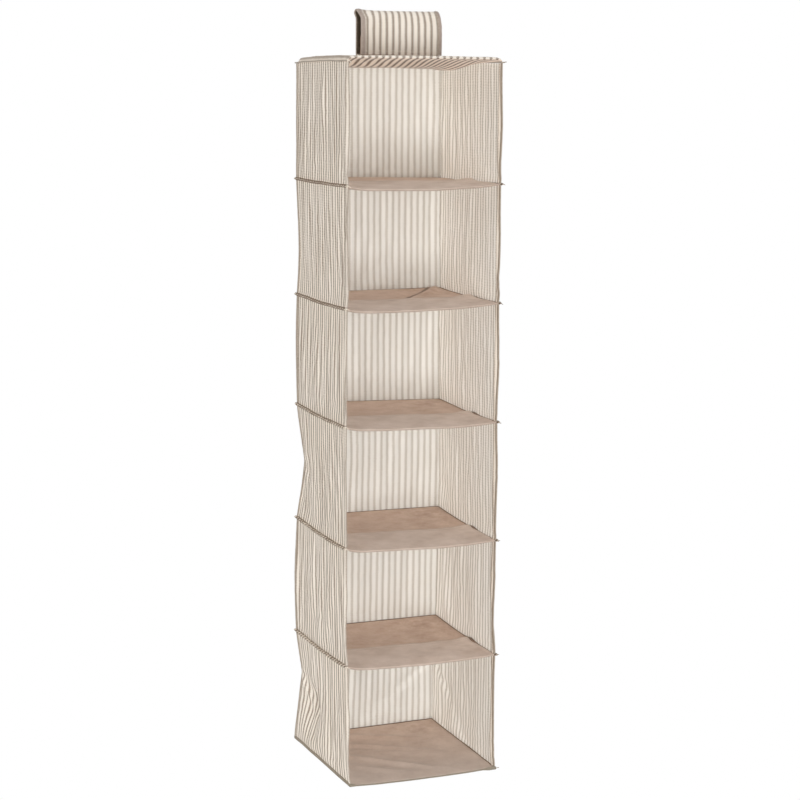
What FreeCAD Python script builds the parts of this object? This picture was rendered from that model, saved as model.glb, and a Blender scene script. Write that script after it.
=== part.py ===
"""Hanging shoe organizer: a striped fabric tower of six open-fronted compartments on a wide strap.

Millimetres. +Z is up, -Y is the open front, +X is to the right seen from the front.
The origin is on the axis of the wardrobe rail that the strap hangs on.
Every sub-part is written to parts/NODE.step.
"""

import FreeCAD
import Part

import math
import os

# ---- driving dimensions -------------------------------------------------------------------
WIDTH = 290.0               # outside of one side wall to outside of the other
DEPTH = 300.0               # front edge to the outside of the back wall
COMPARTMENTS = 6
PITCH = 217.0               # one shelf to the next
ROOF_DROP = 75.0            # rail axis down to the seam that joins the walls to the roof

CLOTH = 1.2                 # side and back walls, and the skin of every sleeve
SHELF_THICK = 7.0           # shelf sleeve with its board inside
ROOF_ABOVE = 8.0            # roof sleeve above its seam
ROOF_BELOW = 6.0            # roof sleeve below its seam
BOARD_THICK = 3.0           # stiffener boards of the shelves and the base
ROOF_BOARD_THICK = 4.0
BOARD_PLAY = 2.0            # from a board's edge to its sleeve's side seams

SEAM_FIN = 6.0              # pinched seam that stands out of the walls at each shelf
SEAM_HALF = 1.5             # half its thickness
CORNER_FIN = 5.0            # bound seam that stands out at the two back corners
CORNER_FIN_THICK = 2.4
BASE_BINDING_OUT = 2.5      # binding round the base, outwards from the walls
WALL_GAP = 0.3              # wall's lower edge above the seam that it is sewn to

RAIL_LOOP_RADIUS = 12.9     # inside of the strap, for a 25 mm rail
STRAP_LAYER = 1.4           # one layer: the striped face or the plain lining
STRAP_HALF = 82.5           # half the width of the striped face
BINDING_THICK = 0.9         # tape folded round the strap's edges
BINDING_LAP = 8.0           # how far the tape covers the strap
HINGE_ANGLE = 135.0         # where the flap bends, from the rear sheet over the top
FOOT_LENGTH = 22.0          # sewn-down foot of the strap and of the tab
FLAP_CLEAR = 5.0            # flap's end above the roof

TAB_HALF = 75.0
TAB_THICK = 2.0
TAB_HEIGHT = 39.0
FASTENER_THICK = 1.0        # each of the hook and the loop strip
FASTENER_HALF = 65.0
FASTENER_HEIGHT = 25.0
FASTENER_FOOT = 8.0         # lower edge of the strips above the roof

# ---- worked out ---------------------------------------------------------------------------
HALF_W = WIDTH / 2
HALF_D = DEPTH / 2
INSIDE_X = HALF_W - CLOTH - 0.2     # sleeves stop just inside the walls
INSIDE_BACK = HALF_D - CLOTH - 0.2
ROOF_TOP = ROOF_ABOVE - ROOF_DROP
LINING_R = RAIL_LOOP_RADIUS
FACE_R = LINING_R + STRAP_LAYER
OUTER_R = FACE_R + STRAP_LAYER
BOUND_R = OUTER_R + BINDING_THICK
FLAP_END = ROOF_TOP + FLAP_CLEAR


def level(k):
    """Height of seam k: 0 is the roof's, COMPARTMENTS is the base's."""
    return -ROOF_DROP - k * PITCH


def block(x0, x1, y0, y1, z0, z1):
    return Part.makeBox(x1 - x0, y1 - y0, z1 - z0, FreeCAD.Vector(x0, y0, z0))


def save(shapes, node):
    """Writes one solid, or a group of separate solids, as parts/NODE.step."""
    solids = shapes if isinstance(shapes, list) else [shapes]
    shape = solids[0] if len(solids) == 1 else Part.makeCompound(solids)
    for solid in solids:
        assert solid.isValid() and solid.Volume > 0, node
    shape.exportStep(f"parts/{node}.step")


# ---- strap --------------------------------------------------------------------------------
def on_arc(radius, degrees):
    """Point on the loop: 0 degrees is the rear sheet's side, 90 the top, 180 the front."""
    a = math.radians(degrees)
    return FreeCAD.Vector(0, radius * math.cos(a), radius * math.sin(a))


def band(inner, outer, first, last, tail_end, x0, x1):
    """One layer of the strap round the rail, from angle first to last, with a straight tail.

    The tail hangs to tail_end from the rear (first is 0) or from the front (last is 180).
    """
    middle = (first + last) / 2
    start_in, start_out = on_arc(inner, first), on_arc(outer, first)
    end_in, end_out = on_arc(inner, last), on_arc(outer, last)
    edges = [
        Part.Arc(start_in, on_arc(inner, middle), end_in).toShape(),
        Part.Arc(end_out, on_arc(outer, middle), start_out).toShape(),
    ]
    if first == 0:
        low_in = FreeCAD.Vector(0, inner, tail_end)
        low_out = FreeCAD.Vector(0, outer, tail_end)
        edges.insert(1, Part.LineSegment(end_in, end_out).toShape())
        corners = [start_out, low_out, low_in, start_in]
    else:
        low_in = FreeCAD.Vector(0, -inner, tail_end)
        low_out = FreeCAD.Vector(0, -outer, tail_end)
        edges.append(Part.LineSegment(start_out, start_in).toShape())
        corners = [end_in, low_in, low_out, end_out]
    for a, b in zip(corners, corners[1:]):
        edges.append(Part.LineSegment(a, b).toShape())
    outline = Part.Wire(Part.__sortEdges__(edges))
    face = Part.Face(outline)
    face.translate(FreeCAD.Vector(x0, 0, 0))
    return face.extrude(FreeCAD.Vector(x1 - x0, 0, 0))


def edge_tape(first, last, tail_end):
    """Tape folded round the strap's right edge: flush inside, proud outside."""
    start = STRAP_HALF - BINDING_LAP
    whole = band(LINING_R, BOUND_R, first, last, tail_end, start, STRAP_HALF + BINDING_THICK)
    taken_by_face = band(FACE_R, OUTER_R, first, last, tail_end, start, STRAP_HALF)
    return whole.cut(taken_by_face).Solids[0]


def mirrored(shape):
    return shape.mirror(FreeCAD.Vector(0, 0, 0), FreeCAD.Vector(1, 0, 0))


def make_strap():
    """Fixed part of the strap: sewn to the roof behind the rail, up and over the rail."""
    foot_top = ROOF_TOP + STRAP_LAYER
    face = band(FACE_R, OUTER_R, 0, HINGE_ANGLE, ROOF_TOP, -STRAP_HALF, STRAP_HALF)
    foot = block(-STRAP_HALF, STRAP_HALF, OUTER_R, FACE_R + FOOT_LENGTH, ROOF_TOP, foot_top)
    save(face.fuse(foot).removeSplitter().Solids[0], "strap_face")
    lap = STRAP_HALF - BINDING_LAP
    save(band(LINING_R, FACE_R, 0, HINGE_ANGLE, ROOF_TOP, -lap, lap), "strap_lining")
    tape = edge_tape(0, HINGE_ANGLE, foot_top)
    save(tape, "strap_binding_right")
    save(mirrored(tape), "strap_binding_left")


def make_flap():
    """Free end of the strap, which closes over the tab with hook-and-loop strips."""
    lap = STRAP_HALF - BINDING_LAP
    face = band(FACE_R, OUTER_R, HINGE_ANGLE, 180, FLAP_END, -STRAP_HALF, STRAP_HALF)
    save(face, "flap_face")
    save(band(LINING_R, FACE_R, HINGE_ANGLE, 180, FLAP_END, -lap, lap), "flap_lining")
    tape = edge_tape(HINGE_ANGLE, 180, FLAP_END)
    save(tape, "flap_binding_right")
    save(mirrored(tape), "flap_binding_left")
    low = ROOF_TOP + FASTENER_FOOT
    hook_back = -LINING_R + FASTENER_THICK
    hooks = block(-FASTENER_HALF, FASTENER_HALF, -LINING_R, hook_back, low, low + FASTENER_HEIGHT)
    save(hooks, "hook_strip")


def make_tab():
    """Short upright tab on the roof inside the flap, with the loop strip on its front."""
    loop_front = -LINING_R + FASTENER_THICK
    tab_front = loop_front + FASTENER_THICK
    tab_back = tab_front + TAB_THICK
    upright = block(-TAB_HALF, TAB_HALF, tab_front, tab_back, ROOF_TOP, ROOF_TOP + TAB_HEIGHT)
    foot_front = tab_front - FOOT_LENGTH
    foot = block(-TAB_HALF, TAB_HALF, foot_front, tab_front, ROOF_TOP, ROOF_TOP + TAB_THICK)
    save(upright.fuse(foot).removeSplitter().Solids[0], "strap_tab")
    low = ROOF_TOP + FASTENER_FOOT
    loops = block(-FASTENER_HALF, FASTENER_HALF, loop_front, tab_front, low, low + FASTENER_HEIGHT)
    save(loops, "loop_strip")


# ---- sleeves, boards and seams ------------------------------------------------------------
def sleeve(z0, z1):
    """Flat fabric sleeve, closed at the front and sides and open at the back seam."""
    outside = block(-INSIDE_X, INSIDE_X, -HALF_D, INSIDE_BACK, z0, z1)
    inside = block(
        -INSIDE_X + CLOTH, INSIDE_X - CLOTH,
        -HALF_D + CLOTH, INSIDE_BACK + 1.0,
        z0 + CLOTH, z1 - CLOTH,
    )
    return outside.cut(inside).Solids[0]


def board(sleeve_bottom, thick):
    """Stiffener board lying on the floor of its sleeve."""
    edge = CLOTH + BOARD_PLAY
    z0 = sleeve_bottom + CLOTH
    return block(
        -INSIDE_X + edge, INSIDE_X - edge,
        -HALF_D + edge, INSIDE_BACK - BOARD_PLAY,
        z0, z0 + thick,
    )


def seam_fin(k):
    """Pinched seam round the left, back and right sides at level k."""
    z0, z1 = level(k) - SEAM_HALF, level(k) + SEAM_HALF
    out_x, out_y = HALF_W + SEAM_FIN, HALF_D + SEAM_FIN
    ring = block(-out_x, out_x, -HALF_D, out_y, z0, z1)
    hollow = block(-INSIDE_X, INSIDE_X, -HALF_D - 1.0, INSIDE_BACK, z0 - 1.0, z1 + 1.0)
    return ring.cut(hollow).Solids[0]


def make_roof():
    bottom = level(0) - ROOF_BELOW
    save(sleeve(bottom, ROOF_TOP), "roof_cover")
    save(board(bottom, ROOF_BOARD_THICK), "roof_board")
    save(seam_fin(0), "roof_seam")


def make_shelf(k):
    bottom = level(k) - SHELF_THICK / 2
    save(sleeve(bottom, bottom + SHELF_THICK), f"shelf_cover_{k}")
    save(board(bottom, BOARD_THICK), f"shelf_board_{k}")
    save(seam_fin(k), f"shelf_seam_{k}")


def make_base():
    bottom = level(COMPARTMENTS) - SHELF_THICK / 2
    save(sleeve(bottom, bottom + SHELF_THICK), "base_cover")
    save(board(bottom, BOARD_THICK), "base_board")
    z0, z1 = bottom, level(COMPARTMENTS) + SEAM_HALF
    out_x, out_y = HALF_W + BASE_BINDING_OUT, HALF_D + BASE_BINDING_OUT
    ring = block(-out_x, out_x, -out_y, out_y, z0, z1)
    hollow = block(-INSIDE_X, INSIDE_X, -HALF_D, INSIDE_BACK, z0 - 1.0, z1 + 1.0)
    save(ring.cut(hollow).Solids[0], "base_binding")


# ---- walls --------------------------------------------------------------------------------
def make_walls(k):
    """Side and back walls of compartment k, between seams k - 1 and k."""
    z0, z1 = level(k) + SEAM_HALF + WALL_GAP, level(k - 1) - SEAM_HALF
    inner_x, inner_y = HALF_W - CLOTH, HALF_D - CLOTH
    left = block(-HALF_W, -inner_x, -HALF_D, HALF_D, z0, z1)
    save(left, f"left_wall_{k}")
    save(mirrored(left), f"right_wall_{k}")
    save(block(-inner_x, inner_x, inner_y, HALF_D, z0, z1), f"back_wall_{k}")
    fin = block(-HALF_W - CORNER_FIN, -HALF_W, HALF_D - CORNER_FIN_THICK, HALF_D, z0, z1)
    save([fin, mirrored(fin)], f"corner_bindings_{k}")


def main():
    os.makedirs("parts", exist_ok=True)
    make_strap()
    make_flap()
    make_tab()
    make_roof()
    for k in range(1, COMPARTMENTS):
        make_shelf(k)
    make_base()
    for k in range(1, COMPARTMENTS + 1):
        make_walls(k)


main()
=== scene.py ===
"""Hanging shoe organizer: cloth, sleeves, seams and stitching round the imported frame, in metres."""

import math

import bpy
import numpy as np
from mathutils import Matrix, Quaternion, Vector, noise


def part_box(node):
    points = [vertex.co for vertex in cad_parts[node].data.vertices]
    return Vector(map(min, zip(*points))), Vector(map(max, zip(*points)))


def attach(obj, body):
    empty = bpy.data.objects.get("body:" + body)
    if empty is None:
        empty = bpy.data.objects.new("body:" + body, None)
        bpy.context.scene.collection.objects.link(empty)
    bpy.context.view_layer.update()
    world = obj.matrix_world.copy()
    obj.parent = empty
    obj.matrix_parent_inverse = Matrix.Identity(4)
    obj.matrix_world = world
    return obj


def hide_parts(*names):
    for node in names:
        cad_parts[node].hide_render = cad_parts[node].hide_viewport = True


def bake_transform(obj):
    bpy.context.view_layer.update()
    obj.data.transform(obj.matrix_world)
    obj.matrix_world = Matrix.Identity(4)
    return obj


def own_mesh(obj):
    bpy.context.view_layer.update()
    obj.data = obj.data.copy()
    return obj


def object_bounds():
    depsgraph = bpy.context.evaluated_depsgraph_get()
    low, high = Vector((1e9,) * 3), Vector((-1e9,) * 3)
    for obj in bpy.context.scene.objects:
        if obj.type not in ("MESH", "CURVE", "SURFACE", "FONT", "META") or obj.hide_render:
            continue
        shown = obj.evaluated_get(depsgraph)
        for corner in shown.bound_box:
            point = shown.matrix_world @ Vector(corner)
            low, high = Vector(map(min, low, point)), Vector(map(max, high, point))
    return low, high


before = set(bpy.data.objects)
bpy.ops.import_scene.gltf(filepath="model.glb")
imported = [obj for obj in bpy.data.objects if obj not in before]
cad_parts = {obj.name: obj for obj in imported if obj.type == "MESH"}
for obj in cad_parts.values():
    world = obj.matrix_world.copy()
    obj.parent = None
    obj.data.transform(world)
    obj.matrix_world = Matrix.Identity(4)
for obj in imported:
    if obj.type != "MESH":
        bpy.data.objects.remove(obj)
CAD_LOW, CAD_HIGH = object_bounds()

# ---- the organizer's sizes, read from the frame -------------------------------------------
COMPARTMENTS = 6
LEFT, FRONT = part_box("left_wall_1")[0].xy
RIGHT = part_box("right_wall_1")[1].x
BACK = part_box("back_wall_1")[1].y
MIDDLE_X, MIDDLE_Y = (LEFT + RIGHT) / 2, (FRONT + BACK) / 2
SIDE = BACK - FRONT
WIDE = RIGHT - LEFT
AROUND = 2 * SIDE + WIDE
SHELVES = range(1, COMPARTMENTS)
LEVEL_BODIES = ["frame"] + [f"shelf_{k}" for k in SHELVES] + ["base"]


def level_name(k, part):
    """What a part of level k is called: the roof is level 0, and the base is the last."""
    if k in SHELVES:
        return f"shelf_{part}_{k}"
    return f"base_{part}" if k else f"roof_{part}"


def middle_height(node):
    low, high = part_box(node)
    return (low.z + high.z) / 2


LEVELS = [middle_height(level_name(k, "seam")) for k in range(COMPARTMENTS)]
LEVELS += [middle_height("base_cover")]
PITCH = LEVELS[0] - LEVELS[1]

# ---- cloth sizes --------------------------------------------------------------------------
STRIPE_PITCH = 0.0127       # from one taupe stripe to the next
STRIPE_SHARE = 0.38         # share of the pitch that is taupe
SLUB_PITCH = 0.0048         # along a stripe, from one thick place to the next
CLOTH = 0.0006              # thickness of the striped cloth
MESH_STEP = 0.005           # between the points of the walls' cloth
SEAM_HALF = 0.0015          # how far the walls' cloth stops short of each seam's middle
CREASE_Y = FRONT + 0.115    # back edge of the facing on top of each shelf
SHELF_HALF = 0.0036         # half the thickness of a shelf sleeve
SLEEVE_IN = 0.0013          # from each side wall to the sewn edges of a sleeve
SLEEVE_IN_BACK = 0.0014     # from the back wall
SEAM_OUT = 0.0026           # from the walls to the middle of a rolled seam
THREAD_END = 0.0006         # half the thickness of the knots and loose ends at the corners
CLOTH_SHIFT = 0.31          # of the pattern, from one compartment's cloth to the next
STITCH = 0.0028             # length of one visible stitch
STITCH_GAP = 0.0042         # from one stitch to the next
THREAD = 0.00028            # half the thickness of sewing thread
UP = (0.0, 0.0, 1.0)

# how far out and up a rounded edge is, at five places round its half turn
HALF_TURN = [(math.sin(math.pi * n / 6), math.cos(math.pi * n / 6)) for n in range(1, 6)]
# half the thickness of the rolled seam at each level, from the roof down
SEAM_THICK = (0.0012, 0.0017, 0.0017, 0.0022, 0.0022, 0.0024)
# the one shelf with a pulled fold across it, and the direction that the fold faces
FOLDED_SHELF = 2
FOLD_AHEAD, FOLD_ACROSS = 0.555, 0.832

# how far each compartment's back corners bow (left, right): outwards is positive
CORNER_BOW = {
    1: (0.000, 0.001), 2: (-0.004, -0.002), 3: (0.003, -0.003),
    4: (-0.015, 0.002), 5: (0.004, -0.002), 6: (-0.014, -0.009),
}
# height share at which each bow is deepest, and how sharp it is there (0 is a plain arc)
BOW_AT = {1: (0.5, 0.0), 2: (0.5, 0.0), 3: (0.6, 0.2), 4: (0.5, 0.62), 5: (0.5, 0.2), 6: (0.62, 0.8)}
# how far the middle of the left, back and right walls bulges outwards
WALL_BULGE = {
    1: (0.003, 0.002, 0.002), 2: (-0.003, 0.004, -0.003), 3: (0.004, 0.002, 0.002),
    4: (-0.004, 0.003, 0.003), 5: (0.005, 0.002, -0.002), 6: (-0.005, 0.003, 0.004),
}
# how far the middle of each shelf's front edge hangs below its seams; the base is stiffest
FRONT_DROP = {1: 0.0085, 2: 0.008, 3: 0.0075, 4: 0.008, 5: 0.0075, 6: 0.003}
# how each level hangs: turned (radians), and lifted at its front left, back left, back right
# and front right corners
LEVEL_TURN = {0: 0.0, 1: 0.0, 2: -0.008, 3: -0.012, 4: -0.008, 5: 0.008, 6: 0.040}
LEVEL_LIFT = {
    0: (0.0, 0.0, 0.0, 0.0), 1: (-0.0006, 0.0009, -0.002, 0.0004),
    2: (-0.0004, -0.0006, 0.002, 0.0022), 3: (0.0048, 0.0052, 0.0004, 0.0009),
    4: (0.0004, 0.0011, 0.0026, -0.003), 5: (-0.0013, -0.0048, -0.0004, -0.0034),
    6: (-0.0050, -0.0015, 0.002, -0.0062),
}
# soft folds across the base: slant, place and height
BASE_FOLDS = (
    (0.55, 0.03, 0.0062), (0.80, -0.05, 0.0052), (0.35, 0.095, 0.0046), (0.6, -0.10, 0.0036),
    (0.45, 0.000, 0.0030),
)
# how much wider the dark strip of painted shadow inside each shelf is beside its crease, at the right
# wall
SHADOW_WIDENING = {1: 0.6, 2: 1.4, 3: 3.0, 4: 2.8, 5: 3.4, 6: 0.4}
# how far the side seams of each level sag between their corners; the roof's are pulled up
SEAM_SAG = {0: -0.0015, 1: 0.001, 2: 0.002, 3: 0.003, 4: 0.003, 5: 0.003, 6: 0.0}


def smooth(a, b, value):
    """0 below a, 1 above b and an even S between."""
    t = np.clip((value - a) / (b - a), 0, 1)
    return t * t * (3 - 2 * t)


def ripple(x, y, z):
    """Repeatable soft noise from -1 to 1."""
    return noise.noise(Vector((x, y, z)))


# ---- places round the walls ---------------------------------------------------------------
def round_walls(s):
    """Plan place and outward direction, s metres round the walls from the left front edge."""
    if s < SIDE:
        return (LEFT, FRONT + s), (-1.0, 0.0)
    if s < SIDE + WIDE:
        return (LEFT + s - SIDE, BACK), (0.0, 1.0)
    return (RIGHT, BACK - (s - SIDE - WIDE)), (1.0, 0.0)


def hang(k, x, y):
    """Where the point (x, y) of level k moves as the level turns and tips: x, y and height."""
    across, deep = (x - LEFT) / WIDE, (y - FRONT) / SIDE
    front_left, back_left, back_right, front_right = LEVEL_LIFT[k]
    left = front_left + (back_left - front_left) * deep
    right = front_right + (back_right - front_right) * deep
    turn = LEVEL_TURN[k]
    lift = left + (right - left) * across
    return x - turn * (y - MIDDLE_Y), y + turn * (x - MIDDLE_X), lift


def hung(k, points):
    """All the points of level k, moved as it hangs."""
    points = np.array(points, float)
    for point in points.reshape(-1, 3):
        x, y, lift = hang(k, point[0], point[1])
        point[:] = x, y, point[2] + lift
    return points


def seam_height(k, s):
    """Height of seam k at s: it sags along each side and wanders a little."""
    along = s / SIDE if s < SIDE else (AROUND - s) / SIDE
    on_side = s < SIDE or s > SIDE + WIDE
    sag = SEAM_SAG[k] * math.sin(math.pi * min(1.0, along)) if on_side else 0.0
    wander = 0.0011 * ripple(s * 21, k * 7.3, 0.5) * math.sin(math.pi * s / AROUND) ** 0.3
    return LEVELS[k] - sag + wander


SIDE_STEPS = round(SIDE / MESH_STEP)
WIDE_STEPS = round(WIDE / MESH_STEP)
COLUMNS = np.concatenate([
    np.linspace(0, SIDE, SIDE_STEPS + 1),
    SIDE + np.linspace(0, WIDE, WIDE_STEPS + 1)[1:],
    SIDE + WIDE + np.linspace(0, SIDE, SIDE_STEPS + 1)[1:],
])
ROWS = round(PITCH / MESH_STEP)


# ---- mesh helpers -------------------------------------------------------------------------
def add_object(name, mesh):
    obj = bpy.data.objects.new(name, mesh)
    bpy.context.scene.collection.objects.link(obj)
    return obj


def make_object(name, verts, faces, uvs=None, material=None):
    """uvs is one (u, v) for each corner of each face, or one for each vertex."""
    mesh = bpy.data.meshes.new(name)
    mesh.from_pydata([tuple(v) for v in verts], [], faces)
    if uvs is not None:
        if len(uvs) == len(verts):
            uvs = [uvs[v] for face in faces for v in face]
        layer = mesh.uv_layers.new(name="UVMap")
        layer.data.foreach_set("uv", np.asarray(uvs, float).ravel())
    mesh.validate()
    mesh.shade_smooth()
    if material is not None:
        mesh.materials.append(material)
    return add_object(name, mesh)


def turned_outwards(obj):
    """A closed mesh with its faces turned outwards, by its signed volume."""
    mesh = obj.data
    mesh.calc_loop_triangles()
    points = np.array([v.co for v in mesh.vertices])
    triangles = np.array([t.vertices for t in mesh.loop_triangles])
    a, b, c = (points[triangles[:, n]] for n in range(3))
    if np.einsum("ij,ij->i", a, np.cross(b, c)).sum() < 0:
        mesh.flip_normals()
    return obj


def grid_faces(columns, rows, flip=False):
    """Faces of a grid whose vertex (i, j) is number i * rows + j."""
    faces = []
    for i in range(columns - 1):
        for j in range(rows - 1):
            a, b = i * rows + j, (i + 1) * rows + j
            faces.append((a, b, b + 1, a + 1) if flip else (a, a + 1, b + 1, b))
    return faces


def path_run(path):
    """Distance along a path, at each of its points."""
    steps = np.linalg.norm(np.diff(path, axis=0), axis=1)
    return np.concatenate([[0], np.cumsum(steps)])


def round_run(rings):
    """Distance round each ring, for the cloth's own v."""
    steps = np.linalg.norm(np.diff(rings, axis=1), axis=2)
    return np.concatenate([np.zeros((len(rings), 1)), np.cumsum(steps, axis=1)], axis=1)


def cloth_grid(u, v):
    """Cloth coordinates of a grid with the given u along it and v across it."""
    return np.stack(np.meshgrid(u, v, indexing="ij"), axis=2)


def cloth_round(u, rings):
    """Cloth coordinates of rings side by side: u from one to the next, and v round each."""
    v = round_run(rings)
    return np.stack([np.repeat(u[:, None], v.shape[1], axis=1), v], axis=2)


def sheet_object(name, grid, uv, material, thick=CLOTH, flip=False, rounds=1, inside=None):
    """One layer of cloth from a grid of points; inside is the finish of its inner face."""
    faces = grid_faces(*grid.shape[:2], flip)
    obj = make_object(name, grid.reshape(-1, 3), faces, uv.reshape(-1, 2), material)
    if rounds:
        finer = obj.modifiers.new("finer", "SUBSURF")
        finer.levels = finer.render_levels = rounds
        finer.boundary_smooth = "PRESERVE_CORNERS"
    body = obj.modifiers.new("thickness", "SOLIDIFY")
    body.thickness, body.offset, body.use_even_offset = thick, 0.0, False
    if inside is not None:
        obj.data.materials.append(inside)
        body.material_offset = 1
    return obj


def sweep(name, path, out, up, section, material, taper=1.0, slant=0.0):
    """Closed solid of a section carried along a path.

    section is a ring of (out, up) offsets. out, up and taper are given once for the whole path
    or for each of its points. slant is how far the cloth's stripes lean as they go round.
    """
    path, ring = np.asarray(path, float), np.asarray(section, float)
    out, up = (np.broadcast_to(np.asarray(a, float), path.shape) for a in (out, up))
    count, around = len(path), len(ring)
    scale = np.broadcast_to(np.asarray(taper, float), count)
    along, round_it = path_run(path), path_run(np.vstack([ring, ring[:1]]))
    middle = ring.mean(axis=0)

    def cloth_at(i, j):
        return along[i] + round_it[j] * slant, round_it[j]

    verts, faces, uvs = [], [], []
    for i in range(count):
        for a, b in middle + (ring - middle) * scale[i]:
            verts.append(path[i] + out[i] * a + up[i] * b)
    for i in range(count - 1):
        for j in range(around):
            first, second = i * around + j, i * around + (j + 1) % around
            faces.append((first, second, second + around, first + around))
            uvs += [cloth_at(i + di, j + dj) for di, dj in ((0, 0), (0, 1), (1, 1), (1, 0))]
    for i, order in ((0, range(around - 1, -1, -1)), (count - 1, range(around))):
        faces.append(tuple(i * around + j for j in order))
        uvs += [cloth_at(i, j) for j in order]
    return turned_outwards(make_object(name, verts, faces, uvs, material))


def place(obj, body, slot, *nodes):
    """Rides obj on its body and hides the named frame parts; slot is not used, and body is None for
    what bends between two.
    """
    if body is not None:
        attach(obj, body)
    if nodes:
        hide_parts(*nodes)


def place_on_walls(k, obj, slot, *nodes):
    """Rides obj on the body above compartment k and gives it a mesh of its own; slot is not used."""
    place(obj, LEVEL_BODIES[k - 1], slot, *nodes)
    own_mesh(obj)


# ---- materials ----------------------------------------------------------------------------
def tree_node(tree, kind, inputs=None, **settings):
    """Adds a node and returns its outputs; an input is a value or another node's output."""
    node = tree.nodes.new(kind)
    for key, value in settings.items():
        setattr(node, key, value)
    for key, value in (inputs or {}).items():
        if isinstance(value, bpy.types.NodeSocket):
            tree.links.new(value, node.inputs[key])
        else:
            node.inputs[key].default_value = value
    return node.outputs


class Finish:
    """A node material built one node at a time."""

    def __init__(self, name):
        self.material = bpy.data.materials.new(name)
        self.material.use_nodes = True
        self.tree = self.material.node_tree
        self.tree.nodes.clear()

    def add(self, kind, inputs=None, output=0, **settings):
        return tree_node(self.tree, "ShaderNode" + kind, inputs, **settings)[output]

    def cloth_map(self):
        return self.add("UVMap", uv_map="UVMap")

    def object_place(self):
        return self.add("TexCoord", output=3)

    def split(self, where):
        """Its first two parts: u and v, or x and y."""
        return tree_node(self.tree, "ShaderNodeSeparateXYZ", {0: where})[:2]

    def math(self, operation, *values):
        return self.add("Math", dict(enumerate(values)), operation=operation)

    def mix(self, share, first, second):
        return self.add(
            "Mix", {0: share, 6: first, 7: second}, output=2, data_type="RGBA", clamp_factor=True
        )

    def noise(self, where, scale, detail=2.0, rough=0.5):
        return self.add(
            "TexNoise", {"Vector": where, "Scale": scale, "Detail": detail, "Roughness": rough}
        )

    def range(self, value, low, high, to_low, to_high, kind="LINEAR"):
        inputs = {0: value, 1: low, 2: high, 3: to_low, 4: to_high}
        return self.add("MapRange", inputs, interpolation_type=kind)

    def share(self, value, low, high, most=1.0, kind="LINEAR"):
        """0 where value is low, and most where it is high."""
        return self.range(value, low, high, 0.0, most, kind)

    def bump(self, strength, distance, height):
        return self.add("Bump", {"Strength": strength, "Distance": distance, "Height": height})

    def finish(self, colour, roughness, normal, sheen=0.0, specular=0.3):
        shader = self.add("BsdfPrincipled", {
            "Base Color": colour, "Roughness": roughness, "Normal": normal,
            "Sheen Weight": sheen, "Sheen Roughness": 0.4, "Sheen Tint": (1, 1, 1, 1),
            "Specular IOR Level": specular,
        })
        out = self.tree.nodes.new("ShaderNodeOutputMaterial")
        self.tree.links.new(shader, out.inputs["Surface"])
        return self.material


def rgb(red, green, blue):
    """Linear colour from 0-255 screen values."""
    def linear(c):
        c /= 255
        return c / 12.92 if c <= 0.04045 else ((c + 0.055) / 1.055) ** 2.4
    return (linear(red), linear(green), linear(blue), 1.0)


def threads(f, uv, pitch):
    """Height of a plain weave: threads along and across, each crossing over and under."""
    waves = [f.math("SINE", f.math("MULTIPLY", part, 2 * math.pi / pitch)) for part in f.split(uv)]
    return f.math("MULTIPLY", *waves)


def striped_cloth(name, *colours, crease_shade=0.0):
    """Cream cloth with soft-edged taupe stripes, one STRIPE_PITCH apart along the cloth's own u.

    colours are the light and deep cream and the light and deep taupe. The last argument is how
    dark the painted shade of long, thin, irregular creases down the cloth is.
    """
    f = Finish(name)
    cream_light, cream_deep, taupe_light, taupe_deep = (rgb(*colour) for colour in colours)
    uv = f.cloth_map()
    u, v = f.split(uv)
    wander = f.range(f.noise(uv, 60.0), 0.25, 0.75, -0.0004, 0.0004)
    fuzz = f.range(f.noise(uv, 950.0, 2.0, 0.7), 0.2, 0.8, -0.0005, 0.0005)
    shifted = f.math("ADD", f.math("ADD", u, wander), fuzz)
    phase = f.math("FRACT", f.math("DIVIDE", shifted, STRIPE_PITCH))
    off_middle = f.math("SUBTRACT", phase, 0.5)
    slub = f.math("ADD", f.math("MULTIPLY", v, 2 * math.pi / SLUB_PITCH),
                  f.math("MULTIPLY", f.noise(uv, 55.0, 1.0), 9.0))
    swell = f.math("MULTIPLY", f.math("SINE", slub), 0.055)
    from_middle = f.math("ADD", f.math("ABSOLUTE", off_middle), swell)
    edge = STRIPE_SHARE / 2
    stripe = f.range(from_middle, edge - 0.06, edge + 0.08, 1.0, 0.0, "SMOOTHSTEP")
    from_core = f.math("ABSOLUTE", f.math("SUBTRACT", off_middle, 0.08))
    core = f.range(from_core, 0.0, 0.09, 0.16, 0.0, "SMOOTHSTEP")
    wear = f.range(f.noise(uv, 260.0, 3.0, 0.6), 0.3, 0.7, 0.72, 1.0)
    mask = f.math("ADD", f.math("MULTIPLY", stripe, wear), f.math("MULTIPLY", core, wear))
    warm = f.share(f.noise(uv, 9.0), 0.3, 0.7)
    colour = f.mix(mask, f.mix(warm, cream_light, cream_deep), f.mix(warm, taupe_light, taupe_deep))
    if crease_shade:
        # painted shade: long, thin dark lines standing in for the shading of the cloth's creases
        drawn_out = f.add("Mapping", {"Vector": uv, "Scale": (95.0, 5.0, 1.0)})
        line = f.share(f.noise(drawn_out, 1.0), 0.56, 0.74, crease_shade, "SMOOTHSTEP")
        colour = f.mix(line, colour, rgb(112, 92, 74))
    speck = f.noise(uv, 2200.0, 1.0)
    height = f.math("ADD", f.math("MULTIPLY", threads(f, uv, 0.0011), 0.5), speck)
    rough = f.range(speck, 0.3, 0.7, 0.78, 0.92)
    return f.finish(colour, rough, f.bump(0.35, 0.0002, height), sheen=0.15, specular=0.2)


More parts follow.
